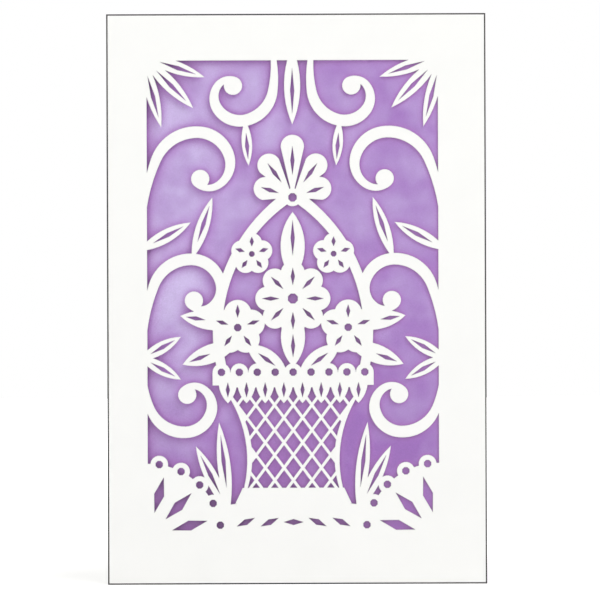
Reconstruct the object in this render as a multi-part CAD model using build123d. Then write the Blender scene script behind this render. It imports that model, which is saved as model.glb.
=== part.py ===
from build123d import *
import math
import os

# Laser-cut greeting card, standing upright and opened like a book. Millimetres, +Z up.
# The front panel faces -Y with its fold on the -X side, and the back panel runs behind it.
# A folded purple sheet stands inside, and shows through the cut window of the front panel.

# Card
card_width = 127.0
card_height = 191.0
card_thickness = 0.35
card_fold_radius = 0.4
opening_angle = 40.0

# Purple insert, a second folded sheet
insert_end_margin = 3.0
insert_free_margin = 4.0
insert_thickness = 0.2
insert_fold_radius = 0.5
insert_setback = 5.0
insert_edge_clearance = 0.3

# Adhesive strip between the insert and the back panel
strip_width = 6.0
strip_thickness = 0.1
strip_end_margin = 10.0
strip_setback = 3.0

# Window in the front panel
fold_margin = 13.5
edge_margin = 16.0
head_margin = 15.6
sill_margin = 16.0
overrun = 1.0

# Cut lines
border_line = 1.7
scroll_line = 3.9
scroll_end_line = 1.8
scroll_terminal_radius = 3.1
coil_tightening_share = 0.45
coil_bend_count = 4
scallop_radius = 3.0
eyelet_radius = 1.3
eyelet_sides = 8
round_sides = 20
slot_width = 1.4
smallest_opening = 1.1
leaf_slot_shares = (0.28, 0.86)
petal_slot_shares = (0.36, 0.82)

# Ground and corner fans
ground_side_height = 5.0
ground_middle_height = 12.0
ground_slot_count = 5
ground_slot_length = 6.6
ground_slot_width = 2.0
ground_slot_pitch = 8.0
ground_slot_tilt = 25.0
ground_slot_height_share = 0.4
fan_radius = 24.5
fan_slot_width = 3.4
fan_slot_count = 3
fan_scallop_count = 5
fan_slot_shares = (0.34, 0.84)

# Basket
basket_foot_width = 34.0
basket_foot_height = 2.6
basket_foot_flare = 2.5
basket_waist_width = 31.0
basket_mouth_width = 50.0
basket_body_height = 37.0
basket_waist_share = 0.34
rim_height = 3.4
rim_overhang = 2.0
rim_scallop_count = 9
lace_point_count = 8
lace_point_length = 7.0
lace_point_bulge_share = 0.76
lace_point_slot_length = 5.0
cell_width = basket_mouth_width / lace_point_count
cell_height = 8.4
lattice_knot_width = 1.25
lattice_knot_height = 1.7

# Handle and its finial
handle_width = 3.5
handle_height = 62.0
handle_spread = 25.0
handle_apex_depth = 4.6
handle_shoulder_share = 0.92
handle_rise_share = 0.55
finial_height = 21.0
finial_side_height = 13.5
finial_width = 7.8
finial_round_share = 1.1
finial_petal_count = 5
finial_petal_step = 36.0
finial_eye_radius = 1.5
finial_knob_radius = 3.0

# Bouquet
bouquet_width = 74.0
bouquet_height = 44.0
blossom_radius = 12.6
blossom_eye_share = 0.14
blossom_petal_share = 0.84
blossom_round_share = 1.0

window_width = card_width - fold_margin - edge_margin
window_height = card_height - head_margin - sill_margin
half_window = window_width / 2


def polar(radius, degrees):
    angle = math.radians(degrees)
    return Vector(radius * math.cos(angle), radius * math.sin(angle))


def place(x_share, z_share):
    """A point of the window, across from its middle and up from its sill."""
    return Vector(x_share * half_window, z_share * window_height)


def disc(centre, radius):
    return Face(Wire([Edge.make_circle(radius, Plane(origin=centre))]))


def regular(centre, radius, sides):
    """A many-sided round, for small balls and holes."""
    corners = [centre + polar(radius, 360 * (i + 0.5) / sides) for i in range(sides)]
    return Face(Wire.make_polygon(corners, close=True))


def ball(centre, radius):
    return regular(centre, radius, round_sides)


def eyelet(centre, radius):
    return regular(centre, radius, eyelet_sides)


def outline(*edges):
    return Face(Wire(edges))


def line(start, end):
    return Edge.make_line(start, end)


def arc(start, middle, end):
    return Edge.make_three_point_arc(start, middle, end)


def box(left, bottom, right, top):
    corners = [Vector(left, bottom), Vector(right, bottom), Vector(right, top), Vector(left, top)]
    return Face(Wire.make_polygon(corners, close=True))


def lens(tail, tip, width):
    """A leaf or slot with two pointed ends."""
    across = (tip - tail).rotate(Axis.Z, 90).normalized() * (width / 2)
    middle = (tail + tip) / 2
    return outline(arc(tail, middle + across, tip), arc(tip, middle - across, tail))


def petal(root, tip, width, round_share):
    """A wedge that widens from its root and ends in a round tip, as deep as a share of half its width."""
    along = (tip - root).normalized() * (width / 2)
    across = along.rotate(Axis.Z, 90)
    shoulder = tip - along * round_share
    left, right = shoulder + across, shoulder - across
    return outline(line(root, right), arc(right, tip, left), line(left, root))


def kite(tail, tip, width):
    """A straight-sided slot, widest at its middle."""
    across = (tip - tail).rotate(Axis.Z, 90).normalized() * (width / 2)
    middle = (tail + tip) / 2
    return Face(Wire.make_polygon([tail, middle - across, tip, middle + across], close=True))


def leaf(root, tip, width, slot_shares):
    """A leaf and the slot of its vein."""
    start, end = [root + (tip - root) * share for share in slot_shares]
    return [lens(root, tip, width)], [kite(start, end, slot_width)]


def mirrored(faces):
    return faces + [face.mirror(Plane.YZ) for face in faces]


# Scroll
def scroll(start, heading, bends, widths, terminal_radius):
    """A tapering stroke of tangent arcs, each a radius and a sweep, with a ball at its end.

    Also gives where each arc ends, and its heading there.
    """
    length = sum(abs(radius * sweep) for radius, sweep in bends)

    def edges_at(point, angle, run):
        reach = run / length * (len(widths) - 1)
        index = min(int(reach), len(widths) - 2)
        width = widths[index] + (widths[index + 1] - widths[index]) * (reach - index)
        side = polar(width / 2, angle + 90)
        return point + side, point - side

    point, run = start, 0
    left, right = edges_at(point, heading, run)
    first_left, first_right = left, right
    left_side, right_side, joints = [], [], []
    for radius, sweep in bends:
        turn = math.copysign(radius, sweep)
        centre = point + polar(turn, heading + 90)
        stations = []
        for share in (0.5, 1.0):
            angle = heading + sweep * share
            point = centre - polar(turn, angle + 90)
            stations.append(edges_at(point, angle, run + abs(radius * sweep) * share))
        left_side.append(arc(left, stations[0][0], stations[1][0]))
        right_side.append(arc(right, stations[0][1], stations[1][1]))
        left, right = stations[1]
        heading += sweep
        run += abs(radius * sweep)
        joints.append((point, heading))
    stroke = outline(*left_side, line(left, right), *right_side, line(first_left, first_right))
    inset = math.copysign(terminal_radius - widths[-1] / 2, bends[-1][1])
    return [stroke, ball(point + polar(inset, heading + 90), terminal_radius)], joints


def coil(radius, sweep):
    """Bends of a coil that tightens evenly."""
    shares = [i / (coil_bend_count - 1) for i in range(coil_bend_count)]
    return [(radius * coil_tightening_share ** share, sweep / coil_bend_count) for share in shares]


# Each row: root across and up, heading, stem radius and sweep, coil radius and sweep
scroll_shares = (
    (1.02, 0.32, 264, 0.35, -14, 0.124, -290),
    (1.02, 0.43, 94, 0.62, 15, 0.135, 290),
    (1.02, 0.69, 96, 0.62, 16, 0.150, 285),
    (0.13, 1.01, 262, 0.40, 18, 0.120, 275),
)
# Each row: the scroll and its arc that the leaf grows from, its turn, length and width
bud_shares = (
    (1, 1, -73, 0.224, 0.044),
    (3, 1, -83, 0.156, 0.036),
)
# Each row: root across and up, tip across and up, and the width
spray_shares = (
    (0.44, 0.05, 0.51, 0.24, 0.045),
    (0.44, 0.05, 0.67, 0.19, 0.045),
    (1.03, 1.01, 0.60, 0.965, 0.044),
    (1.03, 1.01, 0.68, 0.90, 0.048),
    (1.03, 1.01, 0.90, 0.86, 0.044),
    (1.06, 0.37, 0.77, 0.42, 0.042),
    (1.06, 0.38, 0.77, 0.33, 0.042),
    (1.06, 0.60, 0.70, 0.66, 0.046),
    (0.0, 1.03, 0.0, 0.865, 0.056),
)


def scrolls():
    solid, holes, joints = [], [], []
    widths = [scroll_end_line, scroll_line, scroll_line, scroll_end_line]
    for x_share, z_share, heading, stem_share, stem_sweep, coil_share, coil_sweep in scroll_shares:
        bends = [(stem_share * window_width, stem_sweep)] + coil(coil_share * window_width, coil_sweep)
        root = place(x_share, z_share)
        strokes, stroke_joints = scroll(root, heading, bends, widths, scroll_terminal_radius)
        solid += strokes
        joints.append(stroke_joints)
    for scroll_row, arc_number, turn, length_share, width_share in bud_shares:
        root, heading = joints[scroll_row][arc_number]
        tip = root + polar(length_share * window_width, heading + turn)
        leaf_solid, leaf_holes = leaf(root, tip, width_share * window_width, leaf_slot_shares)
        solid += leaf_solid
        holes += leaf_holes
    return mirrored(solid), mirrored(holes)


def sprays():
    solid, holes = [], []
    for x_share, z_share, tip_x_share, tip_z_share, width_share in spray_shares:
        root, tip = place(x_share, z_share), place(tip_x_share, tip_z_share)
        leaf_solid, leaf_holes = leaf(root, tip, width_share * window_width, leaf_slot_shares)
        solid += mirrored(leaf_solid) if x_share else leaf_solid
        holes += mirrored(leaf_holes) if x_share else leaf_holes
    return solid, holes


# Ground and corner fans
def ground():
    left, right = Vector(-half_window - overrun, -overrun), Vector(half_window + overrun, -overrun)
    rise = Vector(0, ground_side_height + overrun)
    mound = outline(
        line(left, right),
        line(right, right + rise),
        arc(right + rise, Vector(0, ground_middle_height), left + rise),
        line(left + rise, left),
    )
    holes = []
    for i in range(ground_slot_count):
        step = i - (ground_slot_count - 1) / 2
        middle = Vector(step * ground_slot_pitch, ground_middle_height * ground_slot_height_share)
        tilt = ground_slot_tilt * ((step < 0) - (step > 0))
        half = polar(ground_slot_length / 2, tilt)
        holes.append(kite(middle - half, middle + half, ground_slot_width))
    return [mound], holes


def corner_fans():
    corner = Vector(half_window, 0)
    scallops = [90 + 90 * (i + 0.5) / fan_scallop_count for i in range(fan_scallop_count)]
    slots = [90 + 90 * (i + 0.5) / fan_slot_count for i in range(fan_slot_count)]
    start_share, end_share = fan_slot_shares
    solid = [disc(corner, fan_radius)]
    solid += [ball(corner + polar(fan_radius, angle), scallop_radius) for angle in scallops]
    holes = [eyelet(corner + polar(fan_radius, angle), eyelet_radius) for angle in scallops]
    for angle in slots:
        way = polar(fan_radius, angle)
        holes.append(kite(corner + way * start_share, corner + way * end_share, fan_slot_width))
    return mirrored(solid), mirrored(holes)


# Basket
body_bottom = ground_middle_height + basket_foot_height
rim_bottom = body_bottom + basket_body_height
rim_top = rim_bottom + rim_height


def basket_body(inset):
    foot, mouth = basket_foot_width / 2 - inset, basket_mouth_width / 2 - inset
    waist = basket_waist_width / 2 - inset
    waist_height = body_bottom + basket_body_height * basket_waist_share
    bottom, top = body_bottom + inset, rim_bottom - inset
    return outline(
        line(Vector(-foot, bottom), Vector(foot, bottom)),
        arc(Vector(foot, bottom), Vector(waist, waist_height), Vector(mouth, top)),
        line(Vector(mouth, top), Vector(-mouth, top)),
        arc(Vector(-mouth, top), Vector(-waist, waist_height), Vector(-foot, bottom)),
    )


def lattice_cell(centre):
    """A lozenge opening between crossing lattice lines."""
    across = Vector((cell_width - lattice_knot_width) / 2, 0)
    up = Vector(0, (cell_height - lattice_knot_height) / 2)
    corners = [centre + up, centre - across, centre - up, centre + across]
    return Face(Wire.make_polygon(corners, close=True))


def lace_point(root):
    """A bowed point that hangs from the rim."""
    half, drop = Vector(cell_width / 2, 0), Vector(0, -lace_point_length)
    tip, bulge = root + drop, half * lace_point_bulge_share
    return outline(
        line(root + half, root - half),
        arc(root - half, root + drop / 2 - bulge, tip),
        arc(tip, root + drop / 2 + bulge, root + half),
    )


def basket():
    half_foot = basket_foot_width / 2
    half_rim = basket_mouth_width / 2 + rim_overhang
    rows = math.ceil(basket_body_height / (cell_height / 2))
    columns = math.ceil(basket_mouth_width / cell_width / 2)
    cells = []
    for row in range(rows + 1):
        shift = 0.5 if row % 2 else 0
        height = body_bottom + row * cell_height / 2
        for column in range(-columns, columns + 1):
            cells.append(lattice_cell(Vector((column + shift) * cell_width, height)))
    lattice = (Sketch() + cells) & basket_body(border_line)
    foot_bottom, foot_top = ground_middle_height - overrun, body_bottom + border_line
    left_foot = Vector(-half_foot - basket_foot_flare, foot_bottom)
    right_foot = Vector(half_foot + basket_foot_flare, foot_bottom)
    foot_corners = [left_foot, right_foot, Vector(half_foot, foot_top), Vector(-half_foot, foot_top)]
    solid = [Face(Wire.make_polygon(foot_corners, close=True))]
    solid += (Sketch() + basket_body(0) - lattice).faces()
    solid.append(box(-half_rim, rim_bottom - overrun, half_rim, rim_top))
    holes = []
    scallop_pitch = (2 * half_rim - 2 * scallop_radius) / (rim_scallop_count - 1)
    for i in range(rim_scallop_count):
        centre = Vector((i - (rim_scallop_count - 1) / 2) * scallop_pitch, rim_top)
        solid.append(ball(centre, scallop_radius))
        holes.append(eyelet(centre, eyelet_radius))
    for i in range(lace_point_count):
        root = Vector((i - (lace_point_count - 1) / 2) * cell_width, rim_bottom)
        solid.append(lace_point(root))
        holes.append(kite(root, root - Vector(0, lace_point_slot_length), slot_width))
    return solid, holes


# Handle and bouquet
def handle():
    """A pointed arch of two bowed strips from the rim to the apex."""
    foot, apex = Vector(handle_spread, rim_top - overrun), Vector(0, rim_top + handle_height)
    shoulder = Vector(handle_spread * handle_shoulder_share, rim_top + handle_height * handle_rise_share)
    inner_foot, inner_apex = foot - Vector(handle_width, 0), apex - Vector(0, handle_apex_depth)
    inner_shoulder = shoulder - Vector(handle_width, 0)
    side = outline(
        arc(foot, shoulder, apex),
        line(apex, inner_apex),
        arc(inner_apex, inner_shoulder, inner_foot),
        line(inner_foot, foot),
    )
    return mirrored([side]), []


def blossom(centre, petal_count, radius):
    solid, holes = [], [eyelet(centre, radius * blossom_eye_share)]
    start_share, end_share = petal_slot_shares
    width = 2 * radius * math.sin(math.pi / petal_count) * blossom_petal_share
    for i in range(petal_count):
        way = polar(radius, 90 + 360 / petal_count * i)
        solid.append(petal(centre, centre + way, width, blossom_round_share))
        holes.append(kite(centre + way * start_share, centre + way * end_share, slot_width))
    return solid, holes


# Each row: middle across and up, size, and the number of petals
blossom_shares = ((0.0, 0.56, 1.0, 8), (0.50, 0.34, 0.74, 5), (0.37, 0.90, 0.56, 5))
# Each row: root across and up, tip across and up, the width, and the ends of the vein along the leaf
leaf_shares = (
    (0.50, 0.22, 1.0, 0.06, 0.085, 0.50, 0.88),
    (0.50, 0.36, 1.02, 0.43, 0.085, 0.56, 0.90),
    (0.0, 0.70, 0.0, 1.22, 0.11, 0.36, 0.88),
    (0.05, -0.02, 0.42, 0.21, 0.09, 0.30, 0.72),
    (0.0, 0.50, 0.0, 0.04, 0.11, 0.46, 0.84),
)


def bouquet():
    def spot(x_share, z_share):
        return Vector(x_share * bouquet_width / 2, rim_top + z_share * bouquet_height)

    solid, holes = [], []
    for x_share, z_share, tip_x_share, tip_z_share, width_share, *slot_shares in leaf_shares:
        root, tip = spot(x_share, z_share), spot(tip_x_share, tip_z_share)
        leaf_solid, leaf_holes = leaf(root, tip, width_share * bouquet_width, slot_shares)
        solid += mirrored(leaf_solid) if x_share else leaf_solid
        holes += mirrored(leaf_holes) if x_share else leaf_holes
    for x_share, z_share, size_share, petal_count in blossom_shares:
        centre, radius = spot(x_share, z_share), blossom_radius * size_share
        flower_solid, flower_holes = blossom(centre, petal_count, radius)
        if x_share:
            flower_solid, flower_holes = mirrored(flower_solid), mirrored(flower_holes)
        solid += flower_solid
        holes += flower_holes
    return solid, holes


def finial():
    """A palmette on the top of the handle."""
    root = Vector(0, rim_top + handle_height - handle_width)
    solid, holes = [ball(root, finial_knob_radius)], [eyelet(root, finial_eye_radius)]
    outermost = (finial_petal_count - 1) / 2
    start_share, end_share = petal_slot_shares
    for i in range(finial_petal_count):
        turn = i - outermost
        length = finial_height + (finial_side_height - finial_height) * abs(turn) / outermost
        way = polar(length, 90 + turn * finial_petal_step)
        solid.append(petal(root, root + way, finial_width, finial_round_share))
        holes.append(kite(root + way * start_share, root + way * end_share, slot_width))
    return solid, holes


# Openings
def cut_openings():
    solid, holes = [], []
    for motif in (ground, corner_fans, scrolls, sprays, handle, bouquet, finial, basket):
        motif_solid, motif_holes = motif()
        solid += motif_solid
        holes += motif_holes
    picture = (Sketch() + solid) - holes
    cut = Sketch() + box(-half_window, 0, half_window, window_height) - picture
    return Sketch() + [face for face in cut.faces() if face.area > smallest_opening ** 2]


# Folded sheets
def folded_sheet(width, height, thickness, inner_radius, angle):
    """A sheet with its fold round the Z axis, one panel along +X and the other turned up by the angle."""
    outer_radius = inner_radius + thickness
    run = width - outer_radius
    along, out = polar(run, angle), angle + 90
    middle = (out + 270) / 2
    profile = outline(
        line(Vector(run, -outer_radius), Vector(0, -outer_radius)),
        arc(Vector(0, -outer_radius), polar(outer_radius, middle), polar(outer_radius, out)),
        line(polar(outer_radius, out), polar(outer_radius, out) + along),
        line(polar(outer_radius, out) + along, polar(inner_radius, out) + along),
        line(polar(inner_radius, out) + along, polar(inner_radius, out)),
        arc(polar(inner_radius, out), polar(inner_radius, middle), Vector(0, -inner_radius)),
        line(Vector(0, -inner_radius), Vector(run, -inner_radius)),
        line(Vector(run, -inner_radius), Vector(run, -outer_radius)),
    )
    return extrude(profile, amount=height, dir=(0, 0, 1))


openings = cut_openings()

# Card with its cut window
card_outer_radius = card_fold_radius + card_thickness
window_middle = fold_margin - card_outer_radius + half_window
window_foot = Vector(window_middle, overrun - card_fold_radius, sill_margin)
window_plane = Plane(origin=window_foot, x_dir=(1, 0, 0), z_dir=(0, -1, 0))
card = folded_sheet(card_width, card_height, card_thickness, card_fold_radius, opening_angle)
card -= extrude(window_plane * openings, amount=card_thickness + 2 * overrun)

# Insert, held to the back panel near its crease, its front leaf leaning to the front panel's free edge
insert_outer_radius = insert_fold_radius + insert_thickness
insert_width = card_width - insert_setback - insert_free_margin
insert_run = insert_width - insert_outer_radius
crease = polar(insert_setback, opening_angle)
crease += polar(card_fold_radius - strip_thickness - insert_outer_radius, opening_angle + 90)
lean = insert_edge_clearance - card_fold_radius - crease.Y
reach = math.hypot(insert_run, insert_outer_radius)
leaf_angle = math.degrees(math.asin(lean / reach) + math.atan2(insert_outer_radius, insert_run))
insert_height = card_height - 2 * insert_end_margin
insert_angle = opening_angle - leaf_angle
insert = folded_sheet(insert_width, insert_height, insert_thickness, insert_fold_radius, insert_angle)
insert = insert.rotate(Axis.Z, leaf_angle).translate(crease + Vector(0, 0, insert_end_margin))

# Adhesive strip, face to face with the back panel and the insert's back leaf
strip_height = insert_height - 2 * strip_end_margin
strip = Solid.make_box(strip_width, strip_thickness, strip_height)
strip = strip.translate(Vector(insert_setback + strip_setback, card_fold_radius - strip_thickness, 0))
strip = strip.rotate(Axis.Z, opening_angle).translate(Vector(0, 0, insert_end_margin + strip_end_margin))

# The origin is at the middle of the foot of the whole card
middle = card.bounding_box().center()
nodes = {"laser_cut_card": card, "purple_insert": insert, "adhesive_strip": strip}
os.makedirs("parts", exist_ok=True)
for name, shape in nodes.items():
    export_step(shape.translate(Vector(-middle.X, -middle.Y, 0)), os.path.join("parts", name + ".step"))
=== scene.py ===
import bpy
import math
from bpy.props import FloatProperty, FloatVectorProperty, PointerProperty
from bpy.types import Operator, Panel, PropertyGroup
from mathutils import Matrix, Vector


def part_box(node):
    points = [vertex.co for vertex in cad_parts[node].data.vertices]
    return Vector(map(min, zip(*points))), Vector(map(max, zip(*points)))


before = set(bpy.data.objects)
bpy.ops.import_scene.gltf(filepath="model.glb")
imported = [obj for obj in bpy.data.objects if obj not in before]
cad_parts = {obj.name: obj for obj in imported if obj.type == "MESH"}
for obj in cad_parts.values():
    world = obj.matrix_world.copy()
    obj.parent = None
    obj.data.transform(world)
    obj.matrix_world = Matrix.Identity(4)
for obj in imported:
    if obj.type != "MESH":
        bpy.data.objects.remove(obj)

bl_info = {
    "name": "Laser-cut greeting card",
    "version": (1, 0, 0),
    "blender": (4, 5, 0),
    "location": "View3D > Sidebar > Card",
    "description": "Paper finishes for a laser-cut card with a pearl insert, and a studio",
    "category": "Object",
}

millimetre = 0.001

# Frame of the photograph, in its own pixels, and how the card lies in it
frame_pixels = 600
card_height_pixels = 570.5
card_middle_pixels = (296.6, 298.9)
frame_roll = math.radians(0.2)

card_low, card_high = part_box("laser_cut_card")
card_middle = (card_low + card_high) / 2
card_height = card_high.z - card_low.z
metres_per_pixel = card_height / card_height_pixels

# A Mix node's sockets share their names between its kinds, so they are given by number
number_a, number_b, number_result = 2, 3, 0
colour_a, colour_b, colour_result = 6, 7, 2


# Colours and shader nodes
def linear(hex_colour):
    """An sRGB hex colour as linear red, green and blue."""
    shares = [int(hex_colour[i:i + 2], 16) / 255 for i in (0, 2, 4)]
    return tuple(
        c / 12.92 if c <= 0.04045 else ((c + 0.055) / 1.055) ** 2.4 for c in shares)


def shade(colour):
    """A colour with full alpha, as shader sockets take it."""
    return (*colour, 1.0)


def add(tree, kind, sockets=(), **settings):
    """Adds a node with its settings. A socket takes a value, or another node's output, and goes
    by its name, or by its number where several have one name, as in Math."""
    node = tree.nodes.new("ShaderNode" + kind)
    for name, value in settings.items():
        setattr(node, name, value)
    for name, value in dict(sockets).items():
        if isinstance(value, bpy.types.NodeSocket):
            tree.links.new(value, node.inputs[name])
        else:
            node.inputs[name].default_value = value
    return node


def new_material(name):
    """An empty node material and its tree."""
    material = bpy.data.materials.new(name)
    material.use_nodes = True
    material.node_tree.nodes.clear()
    return material, material.node_tree


def dress(node_name, material):
    """Gives a CAD node its finish in each of its slots."""
    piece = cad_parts[node_name]
    if not piece.material_slots:
        piece.data.materials.append(material)
    for material_slot in piece.material_slots:
        material_slot.material = material


def per_millimetres(size):
    """A texture scale at which one feature is about this many millimetres."""
    return 1 / (size * millimetre)


# Sizes and colours that a user would change
class CardFinish(PropertyGroup):
    white: FloatVectorProperty(
        name="Card white", description="Colour of the coated card",
        subtype="COLOR", default=linear("FAFAF8"))
    # The scorch colour also draws the painted edge shade along the trimmed edges and the fold
    scorch: FloatVectorProperty(
        name="Scorch", description="Colour of the laser-cut edge",
        subtype="COLOR", default=linear("2E2A2E"))
    scorch_width: FloatProperty(
        name="Scorch width", description="How far the scorch reaches in from a cut edge",
        default=0.26 * millimetre, min=0, subtype="DISTANCE", unit="LENGTH")
    rim_width: FloatProperty(
        name="Rim width", description="Width of the dark line along the outer edge and the fold",
        default=0.47 * millimetre, min=0, subtype="DISTANCE", unit="LENGTH")
    fibre: FloatProperty(
        name="Fibre", description="Size of the card's surface fibres",
        default=0.6 * millimetre, min=0, subtype="DISTANCE", unit="LENGTH")


class InsertFinish(PropertyGroup):
    # Plum is painted shade, the colour the paper takes beside the card's strokes
    plum: FloatVectorProperty(
        name="Plum", description="Colour of the dyed paper where the card shades it",
        subtype="COLOR", default=linear("B066C8"))
    violet: FloatVectorProperty(
        name="Violet", description="Colour of the coating in the open",
        subtype="COLOR", default=linear("854AA7"))
    # Lavender is a painted sheen, strongest beside the fold
    lavender: FloatVectorProperty(
        name="Lavender", description="Colour of the pearl sheen near the fold",
        subtype="COLOR", default=linear("C1B1DD"))
    flake: FloatProperty(
        name="Mica flake", description="Size of the pearl coating's flakes",
        default=0.35 * millimetre, min=0, subtype="DISTANCE", unit="LENGTH")


class StripFinish(PropertyGroup):
    film: FloatVectorProperty(
        name="Film", description="Tint of the clear adhesive film",
        subtype="COLOR", default=linear("F4F2E6"))


class Studio(PropertyGroup):
    distance: FloatProperty(
        name="Camera distance", description="From the camera to the front of the card",
        default=1.6, min=0.1, subtype="DISTANCE", unit="LENGTH")
    key_power: FloatProperty(
        name="Key light", description="Power of the softbox above the front of the card",
        default=60.0, min=0, subtype="POWER", unit="POWER")
    fill_power: FloatProperty(
        name="Fill light", description="Power of the broad light in front of the card",
        default=5.9, min=0, subtype="POWER", unit="POWER")
    side_power: FloatProperty(
        name="Side light", description="Power of the softbox that shines in between the panels",
        default=19.0, min=0, subtype="POWER", unit="POWER")
    ambient: FloatProperty(
        name="Ambient", description="Strength of the white surroundings in front of the card",
        default=0.555, min=0)
    wall: FloatProperty(
        name="Lit wall", description="Strength of the white surroundings behind the card",
        default=0.95, min=0)
    floor: FloatVectorProperty(
        name="Floor", description="Colour of the floor",
        subtype="COLOR", default=linear("EEEEEC"))


class CardSettings(PropertyGroup):
    card: PointerProperty(
        name="Card", description="Finish of the folded white card", type=CardFinish)
    insert: PointerProperty(
        name="Insert", description="Finish of the folded purple sheet", type=InsertFinish)
    strip: PointerProperty(
        name="Strip", description="Finish of the adhesive strip", type=StripFinish)
    studio: PointerProperty(
        name="Studio", description="Floor, lights, surroundings and camera", type=Studio)


# White coated card, calendered smooth and cut by laser. The eye sees an even, faintly warm white
# with hardly any grain, a faint scorch along the cut strokes, and a thin dark line at the trimmed
# edges and the fold: scorch and painted edge shade on the cut edges, painted shade alone at the
# fold.
def coated_card_laser_cut(finish):
    cloud_size, cloud_tone = 14.0, 0.985
    scorch_strength, wall_strength = 0.13, 0.65
    line_blur = 0.05 * millimetre
    hidden_by_bend = 0.06 * millimetre
    bend_reach = 2 * millimetre
    # The panels' normals have at least this much Y in them, and the cut walls' have less
    panel_facing = 0.7

    material, tree = new_material("coated_card_laser_cut")
    spot = add(tree, "TexCoord")
    place, facing = spot.outputs["Object"], spot.outputs["Normal"]
    # Fibres are really 0.05 mm across, and are drawn coarser so that they show
    fibre = add(tree, "TexNoise", {
        "Vector": place, "Scale": 1 / finish.fibre, "Detail": 4.0, "Roughness": 0.6})
    cloud = add(tree, "TexNoise", {
        "Vector": place, "Scale": per_millimetres(cloud_size), "Detail": 2.0})
    tone = add(tree, "MapRange", {
        "Value": cloud.outputs["Fac"],
        "From Min": 0.3, "From Max": 0.7, "To Min": 0.0, "To Max": 1.0})
    duller = tuple(c * cloud_tone for c in finish.white)
    white = add(tree, "Mix", {
        "Factor": tone.outputs["Result"],
        colour_a: shade(finish.white), colour_b: shade(duller),
    }, data_type="RGBA")
    # The laser leaves a faint scorch beside each stroke's edge
    edge = add(tree, "AmbientOcclusion", {
        "Distance": finish.scorch_width}, inside=True, only_local=True, samples=16)
    cut = add(tree, "MapRange", {
        "Value": edge.outputs["AO"],
        "From Min": 0.8, "From Max": 0.99, "To Min": scorch_strength, "To Max": 0.0})
    # The trimmed edges and the fold are the darkest, a thin line painted all round each panel:
    # scorch and painted edge shade on the cut edges, and painted shade alone at the fold, which
    # isn't cut
    from_corner = add(tree, "VectorMath", {
        0: place, 1: card_low}, operation="SUBTRACT").outputs["Vector"]
    in_plan = add(tree, "VectorMath", {
        0: from_corner, 1: (1.0, 1.0, 0.0)}, operation="MULTIPLY")
    from_fold = add(tree, "VectorMath", {
        0: in_plan.outputs["Vector"]}, operation="LENGTH").outputs["Value"]
    from_foot = add(tree, "SeparateXYZ", {"Vector": from_corner}).outputs["Z"]
    from_free_edge = add(tree, "Math", {
        0: card_high.x - card_low.x, 1: from_fold}, operation="SUBTRACT")
    from_head = add(tree, "Math", {0: card_height, 1: from_foot}, operation="SUBTRACT")
    # The bend hides a little of the line at the fold, so there it reaches further in
    nearest = add(tree, "Math", {
        0: from_fold, 1: hidden_by_bend}, operation="SUBTRACT").outputs["Value"]
    for distance in (from_free_edge.outputs["Value"], from_foot, from_head.outputs["Value"]):
        nearest = add(tree, "Math", {
            0: nearest, 1: distance}, operation="MINIMUM").outputs["Value"]
    rim = add(tree, "MapRange", {
        "Value": nearest,
        "From Min": finish.rim_width - line_blur, "From Max": finish.rim_width + line_blur,
        "To Min": 1.0, "To Max": 0.0})
    scorch_and_edge_shade = add(tree, "Math", {
        0: cut.outputs["Result"], 1: rim.outputs["Result"]}, operation="MAXIMUM")
    # The scorch and the painted edge shade mark the outer faces, and hardly the inner ones
    outward = add(tree, "VectorMath", {
        0: facing, 1: (-1.0, -0.5, 0.0)}, operation="DOT_PRODUCT")
    outer_faces_share = add(tree, "MapRange", {
        "Value": outward.outputs["Value"],
        "From Min": 0.0, "From Max": 0.1, "To Min": 0.2, "To Max": 1.0})
    face = add(tree, "Math", {
        0: scorch_and_edge_shade.outputs["Value"], 1: outer_faces_share.outputs["Result"]}, operation="MULTIPLY")
    # The cut walls are an even grey, but not the bend at the fold, which isn't cut
    parts = add(tree, "SeparateXYZ", {"Vector": facing})
    frontal = add(tree, "Math", {0: parts.outputs["Y"]}, operation="ABSOLUTE")
    on_edge = add(tree, "Math", {
        0: frontal.outputs["Value"], 1: panel_facing}, operation="LESS_THAN")
    past_bend = add(tree, "Math", {0: from_fold, 1: bend_reach}, operation="GREATER_THAN")
    wall = add(tree, "Math", {
        0: on_edge.outputs["Value"], 1: past_bend.outputs["Value"]}, operation="MULTIPLY")
    grey = add(tree, "Math", {
        0: wall.outputs["Value"], 1: wall_strength}, operation="MULTIPLY")
    all_scorch_and_edge_shade = add(tree, "Math", {
        0: face.outputs["Value"], 1: grey.outputs["Value"]}, operation="MAXIMUM")
    colour = add(tree, "Mix", {
        "Factor": all_scorch_and_edge_shade.outputs["Value"],
        colour_a: white.outputs[colour_result], colour_b: shade(finish.scorch),
    }, data_type="RGBA")
    matt = add(tree, "MapRange", {
        "Value": fibre.outputs["Fac"],
        "From Min": 0.3, "From Max": 0.7, "To Min": 0.56, "To Max": 0.68})
    bump = add(tree, "Bump", {
        "Height": fibre.outputs["Fac"], "Strength": 0.12, "Distance": 0.05 * millimetre})
    sheet = add(tree, "BsdfPrincipled", {
        "Base Color": colour.outputs[colour_result], "Roughness": matt.outputs["Result"],
        "IOR": 1.45, "Normal": bump.outputs["Normal"]})
    add(tree, "OutputMaterial", {"Surface": sheet.outputs["BSDF"]})
    return material
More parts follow.
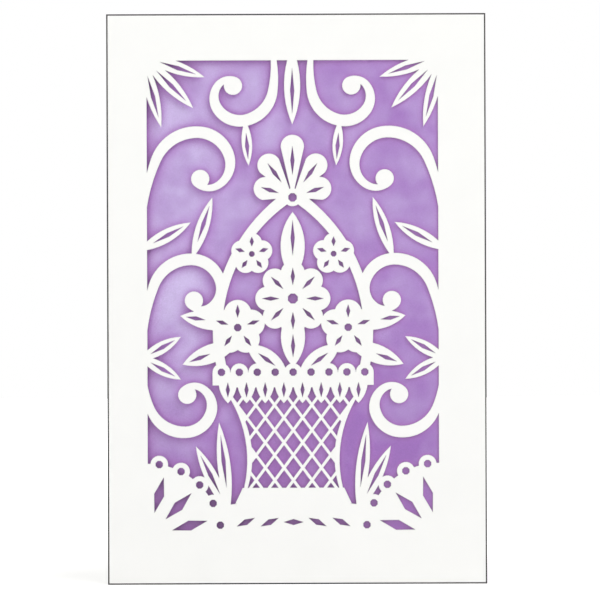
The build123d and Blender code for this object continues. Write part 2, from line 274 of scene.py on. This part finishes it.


# Dyed paper with a rolled-on mica coating. Through the window the eye sees a soft violet with a
# fine glint and soft clouds. Painted into its colour are a lavender sheen near the fold, a warmer
# plum shade beside the strokes, and shade in the smallest openings and towards the foot. The other
# pages are an even violet.
def pearlescent_paper_coated(finish):
    drift_size, mottle_size = 28.0, 13.0
    stroke_reach = 7.0 * millimetre
    even_sheen = 0.3
    flake_tilt = 0.16

    material, tree = new_material("pearlescent_paper_coated")
    spot = add(tree, "TexCoord")
    place, facing = spot.outputs["Object"], spot.outputs["Normal"]
    split = add(tree, "SeparateXYZ", {"Vector": place})
    low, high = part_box("purple_insert")
    # Painted sheen: it is strongest beside the fold, and fades towards the foot of the sheet
    across = add(tree, "MapRange", {
        "Value": split.outputs["X"],
        "From Min": low.x, "From Max": low.x + (high.x - low.x) * 0.75,
        "To Min": 1.0, "To Max": 0.25}, interpolation_type="SMOOTHSTEP")
    upward = add(tree, "MapRange", {
        "Value": split.outputs["Z"],
        "From Min": low.z + (high.z - low.z) * 0.1, "From Max": low.z + (high.z - low.z) * 0.5})
    turn = add(tree, "Math", {
        0: across.outputs["Result"], 1: upward.outputs["Result"]}, operation="MULTIPLY")
    cloud = add(tree, "TexNoise", {
        "Vector": place, "Scale": per_millimetres(drift_size), "Detail": 3.0, "Roughness": 0.55})
    drift = add(tree, "MapRange", {
        "Value": cloud.outputs["Fac"],
        "From Min": 0.32, "From Max": 0.68, "To Min": 0.5, "To Max": 1.3})
    swept = add(tree, "Math", {
        0: turn.outputs["Value"], 1: drift.outputs["Result"]}, operation="MULTIPLY")
    # Small clouds, lighter and deeper, where the coating is thicker and thinner
    mottle = add(tree, "TexNoise", {
        "Vector": place, "Scale": per_millimetres(mottle_size), "Detail": 2.0, "Roughness": 0.5})
    blotch = add(tree, "MapRange", {
        "Value": mottle.outputs["Fac"],
        "From Min": 0.35, "From Max": 0.65, "To Min": -0.14, "To Max": 0.16})
    sheen = add(tree, "Math", {
        0: swept.outputs["Value"], 1: blotch.outputs["Result"]}, operation="ADD", use_clamp=True)
    # Flakes are really 0.05 mm across, and are drawn coarser so that they show
    flake = add(tree, "TexVoronoi", {"Vector": place, "Scale": 1 / finish.flake})
    glint = add(tree, "MapRange", {
        "Value": flake.outputs["Color"],
        "From Min": 0.0, "From Max": 1.0, "To Min": 0.95, "To Max": 1.05})
    # The painted, turning sheen is on the page behind the window, which faces the front. The other
    # pages face elsewhere and keep an even one.
    parts = add(tree, "SeparateXYZ", {"Vector": facing})
    inner = add(tree, "MapRange", {
        "Value": parts.outputs["Y"], "From Min": -0.97, "From Max": -0.9})
    shine = add(tree, "Mix", {
        "Factor": inner.outputs["Result"], number_a: sheen.outputs["Value"], number_b: even_sheen})
    pearl = add(tree, "Mix", {
        "Factor": shine.outputs[number_result],
        colour_a: shade(finish.violet), colour_b: shade(finish.lavender),
    }, data_type="RGBA")
    # Painted shade: within reach of the card's strokes the colour turns to plum, and the violet
    # with its painted sheen shows only where it is clear of them
    cover = add(tree, "AmbientOcclusion", {"Distance": stroke_reach}, samples=8)
    clear = add(tree, "Math", {
        0: cover.outputs["AO"], 1: inner.outputs["Result"]}, operation="MAXIMUM")
    free = add(tree, "MapRange", {
        "Value": clear.outputs["Value"], "From Min": 0.52, "From Max": 0.95})
    coat_with_painted_light = add(tree, "Mix", {
        "Factor": free.outputs["Result"],
        colour_a: shade(finish.plum), colour_b: pearl.outputs[colour_result],
    }, data_type="RGBA")
    # Painted shade: the smallest openings are darkest, and the foot of the sheet a little darker
    # than the rest
    painted_hollow_shade = add(tree, "MapRange", {
        "Value": clear.outputs["Value"],
        "From Min": 0.2, "From Max": 0.85, "To Min": 0.66, "To Max": 1.0})
    foot = add(tree, "MapRange", {
        "Value": upward.outputs["Result"], "To Min": 0.95, "To Max": 1.0})
    painted_shade = add(tree, "Math", {
        0: painted_hollow_shade.outputs["Result"], 1: foot.outputs["Result"]}, operation="MULTIPLY")
    tone = add(tree, "Math", {
        0: painted_shade.outputs["Value"], 1: glint.outputs["Result"]}, operation="MULTIPLY")
    colour = add(tree, "Mix", {
        "Factor": 1.0,
        colour_a: coat_with_painted_light.outputs[colour_result], colour_b: tone.outputs["Value"],
    }, data_type="RGBA", blend_type="MULTIPLY")
    # Each flake lies at its own slight tilt
    turned = add(tree, "VectorMath", {
        0: flake.outputs["Color"], 1: (0.5, 0.5, 0.5)}, operation="SUBTRACT")
    tilt = add(tree, "VectorMath", {
        0: turned.outputs["Vector"], "Scale": flake_tilt}, operation="SCALE")
    flat = add(tree, "NewGeometry").outputs["Normal"]
    tilted = add(tree, "VectorMath", {0: flat, 1: tilt.outputs["Vector"]}, operation="ADD")
    bump = add(tree, "Bump", {
        "Height": flake.outputs["Distance"], "Strength": 0.1, "Distance": 0.03 * millimetre,
        "Normal": tilted.outputs["Vector"]})
    paper = add(tree, "BsdfPrincipled", {
        "Base Color": colour.outputs[colour_result], "Metallic": 0.1, "Roughness": 0.46,
        "IOR": 1.9, "Normal": bump.outputs["Normal"]})
    add(tree, "OutputMaterial", {"Surface": paper.outputs["BSDF"]})
    return material


# Clear acrylic transfer film, cast and slit. The eye sees a faint glossy band with a cloudy
# grain.
def clear_acrylic_film_cast(finish):
    grain_size = 1.2

    material, tree = new_material("clear_acrylic_film_cast")
    place = add(tree, "TexCoord").outputs["Object"]
    grain = add(tree, "TexNoise", {
        "Vector": place, "Scale": per_millimetres(grain_size), "Detail": 3.0})
    gloss = add(tree, "MapRange", {
        "Value": grain.outputs["Fac"],
        "From Min": 0.3, "From Max": 0.7, "To Min": 0.18, "To Max": 0.3})
    bump = add(tree, "Bump", {
        "Height": grain.outputs["Fac"], "Strength": 0.1, "Distance": 0.02 * millimetre})
    film = add(tree, "BsdfPrincipled", {
        "Base Color": shade(finish.film), "Roughness": gloss.outputs["Result"], "IOR": 1.47,
        "Transmission Weight": 0.8, "Normal": bump.outputs["Normal"]})
    add(tree, "OutputMaterial", {"Surface": film.outputs["BSDF"]})
    return material


class CARD_OT_dress_card(Operator):
    """Gives the folded card and its cut window their coated white finish"""
    bl_idname = "card.dress_card"
    bl_label = "Laser-cut card"

    def execute(self, context):
        dress("laser_cut_card", coated_card_laser_cut(context.scene.card_settings.card))
        return {"FINISHED"}


class CARD_OT_dress_insert(Operator):
    """Gives the folded insert its pearlescent violet finish"""
    bl_idname = "card.dress_insert"
    bl_label = "Purple insert"

    def execute(self, context):
        dress("purple_insert", pearlescent_paper_coated(context.scene.card_settings.insert))
        return {"FINISHED"}


class CARD_OT_dress_strip(Operator):
    """Gives the adhesive strip its clear film finish"""
    bl_idname = "card.dress_strip"
    bl_label = "Adhesive strip"

    def execute(self, context):
        dress("adhesive_strip", clear_acrylic_film_cast(context.scene.card_settings.strip))
        return {"FINISHED"}


# Studio
def seen_directly(tree):
    """1 for rays that show the background: to the camera, or by way of gloss or glass."""
    path = add(tree, "LightPath")
    gloss = add(tree, "Math", {
        0: path.outputs["Is Camera Ray"], 1: path.outputs["Is Glossy Ray"]},
        operation="MAXIMUM")
    glass = add(tree, "Math", {
        0: gloss.outputs["Value"], 1: path.outputs["Is Transmission Ray"]},
        operation="MAXIMUM")
    return glass.outputs["Value"]


def white_surroundings(scene, studio):
    """A white world that shows as pure white, and lights the card at a plain level."""
    world = bpy.data.worlds.new("white_surroundings")
    world.use_nodes = True
    tree = world.node_tree
    tree.nodes.clear()
    # The wall behind the card is lit brighter, so that the back and the inside don't look dull
    direction = add(tree, "TexCoord").outputs["Generated"]
    toward = add(tree, "SeparateXYZ", {"Vector": direction})
    glow = add(tree, "MapRange", {
        "Value": toward.outputs["Y"], "From Min": -0.1, "From Max": 0.8,
        "To Min": studio.ambient, "To Max": studio.wall})
    strength = add(tree, "MapRange", {
        "Value": seen_directly(tree), "To Min": glow.outputs["Result"], "To Max": 1.0})
    sky = add(tree, "Background", {"Color": (1, 1, 1, 1), "Strength": strength.outputs["Result"]})
    add(tree, "OutputWorld", {"Surface": sky.outputs["Background"]})
    scene.world = world


# Matt painted board. The eye sees plain white that keeps a soft shadow.
def painted_board_matt(studio):
    grain_size = 3.0
    shadow_reach, white_from = 0.08, 0.35
    least_glow = 0.34

    material, tree = new_material("painted_board_matt")
    place = add(tree, "TexCoord").outputs["Object"]
    grain = add(tree, "TexNoise", {
        "Vector": place, "Scale": per_millimetres(grain_size), "Detail": 2.0})
    bump = add(tree, "Bump", {
        "Height": grain.outputs["Fac"], "Strength": 0.05, "Distance": 0.1 * millimetre})
    board = add(tree, "BsdfDiffuse", {
        "Color": shade(studio.floor), "Normal": bump.outputs["Normal"]})
    # Near the card the board shows its shadow, and further out it fades into the white
    away = add(tree, "VectorMath", {0: place}, operation="LENGTH")
    fade = add(tree, "MapRange", {
        "Value": away.outputs["Value"],
        "From Min": shadow_reach, "From Max": white_from,
        "To Min": least_glow, "To Max": 1.0})
    lift = add(tree, "Math", {
        0: seen_directly(tree), 1: fade.outputs["Result"]}, operation="MULTIPLY")
    glow = add(tree, "Emission", {"Color": (1, 1, 1, 1), "Strength": lift.outputs["Value"]})
    both = add(tree, "AddShader", {0: board.outputs["BSDF"], 1: glow.outputs["Emission"]})
    add(tree, "OutputMaterial", {"Surface": both.outputs["Shader"]})
    return material


def pale_floor(scene, studio):
    """A flat square board, far wider than the card's shadow."""
    half = 3.0
    mesh = bpy.data.meshes.new("pale_floor")
    corners = [(-half, -half, 0), (half, -half, 0), (half, half, 0), (-half, half, 0)]
    mesh.from_pydata(corners, [], [(0, 1, 2, 3)])
    mesh.materials.append(painted_board_matt(studio))
    floor = bpy.data.objects.new("pale_floor", mesh)
    scene.collection.objects.link(floor)


def softbox(scene, name, place, width, power):
    """A square area light that faces the card's middle. Its place, in metres, is from there."""
    light = bpy.data.lights.new(name, "AREA")
    light.shape = "RECTANGLE"
    light.size = light.size_y = width
    light.energy = power
    lamp = bpy.data.objects.new(name, light)
    lamp.location = card_middle + Vector(place)
    lamp.rotation_mode = "QUATERNION"
    lamp.rotation_quaternion = (card_middle - lamp.location).to_track_quat("-Z", "Y")
    scene.collection.objects.link(lamp)


def straight_on_camera(scene, studio):
    """Square on to the front panel, with the card where the photograph has it."""
    camera = bpy.data.cameras.new("straight_on_camera")
    width = frame_pixels * metres_per_pixel
    camera.lens = camera.sensor_width * studio.distance / width
    camera.clip_end = 10 * studio.distance
    across = (frame_pixels / 2 - card_middle_pixels[0]) * metres_per_pixel
    up = (card_middle_pixels[1] - frame_pixels / 2) * metres_per_pixel
    holder = bpy.data.objects.new("straight_on_camera", camera)
    place = Vector((card_middle.x + across, card_low.y - studio.distance, card_middle.z + up))
    upright = Matrix.Rotation(math.radians(90), 4, "X") @ Matrix.Rotation(-frame_roll, 4, "Z")
    holder.matrix_world = Matrix.Translation(place) @ upright
    scene.collection.objects.link(holder)
    scene.camera = holder


class CARD_OT_build_stage(Operator):
    """Adds the floor, the soft lights, the white surroundings and the camera"""
    bl_idname = "card.build_stage"
    bl_label = "Studio"

    def execute(self, context):
        scene, studio = context.scene, context.scene.card_settings.studio
        scene.view_settings.view_transform = "Standard"
        white_surroundings(scene, studio)
        pale_floor(scene, studio)
        softbox(scene, "key_softbox", (1.6, -2.8, 2.5), 2.2, studio.key_power)
        softbox(scene, "fill_softbox", (-0.3, -1.7, -0.05), 1.2, studio.fill_power)
        softbox(scene, "side_softbox", (2.3, 0.3, 0.2), 0.6, studio.side_power)
        straight_on_camera(scene, studio)
        return {"FINISHED"}


piece_operators = (
    CARD_OT_dress_card, CARD_OT_dress_insert, CARD_OT_dress_strip, CARD_OT_build_stage)


class CARD_PT_pieces(Panel):
    """Lists the card's pieces and the studio"""
    bl_idname = "CARD_PT_pieces"
    bl_label = "Laser-cut card"
    bl_space_type = "VIEW_3D"
    bl_region_type = "UI"
    bl_category = "Card"

    def draw(self, context):
        settings = context.scene.card_settings
        groups = (settings.card, settings.insert, settings.strip, settings.studio)
        for operator, group in zip(piece_operators, groups):
            section = self.layout.box()
            section.operator(operator.bl_idname, text=operator.bl_label)
            for name in group.__annotations__:
                section.prop(group, name)


classes = (
    CardFinish, InsertFinish, StripFinish, Studio, CardSettings,
    *piece_operators, CARD_PT_pieces)


def register():
    for kind in classes:
        bpy.utils.register_class(kind)
    bpy.types.Scene.card_settings = PointerProperty(
        name="Card settings", description="Finishes of the card and its studio",
        type=CardSettings)


def unregister():
    del bpy.types.Scene.card_settings
    for kind in reversed(classes):
        bpy.utils.unregister_class(kind)


def main():
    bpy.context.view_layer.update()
    register()
    bpy.ops.card.dress_card()
    bpy.ops.card.dress_insert()
    bpy.ops.card.dress_strip()
    bpy.ops.card.build_stage()


if __name__ == "__main__":
    main()
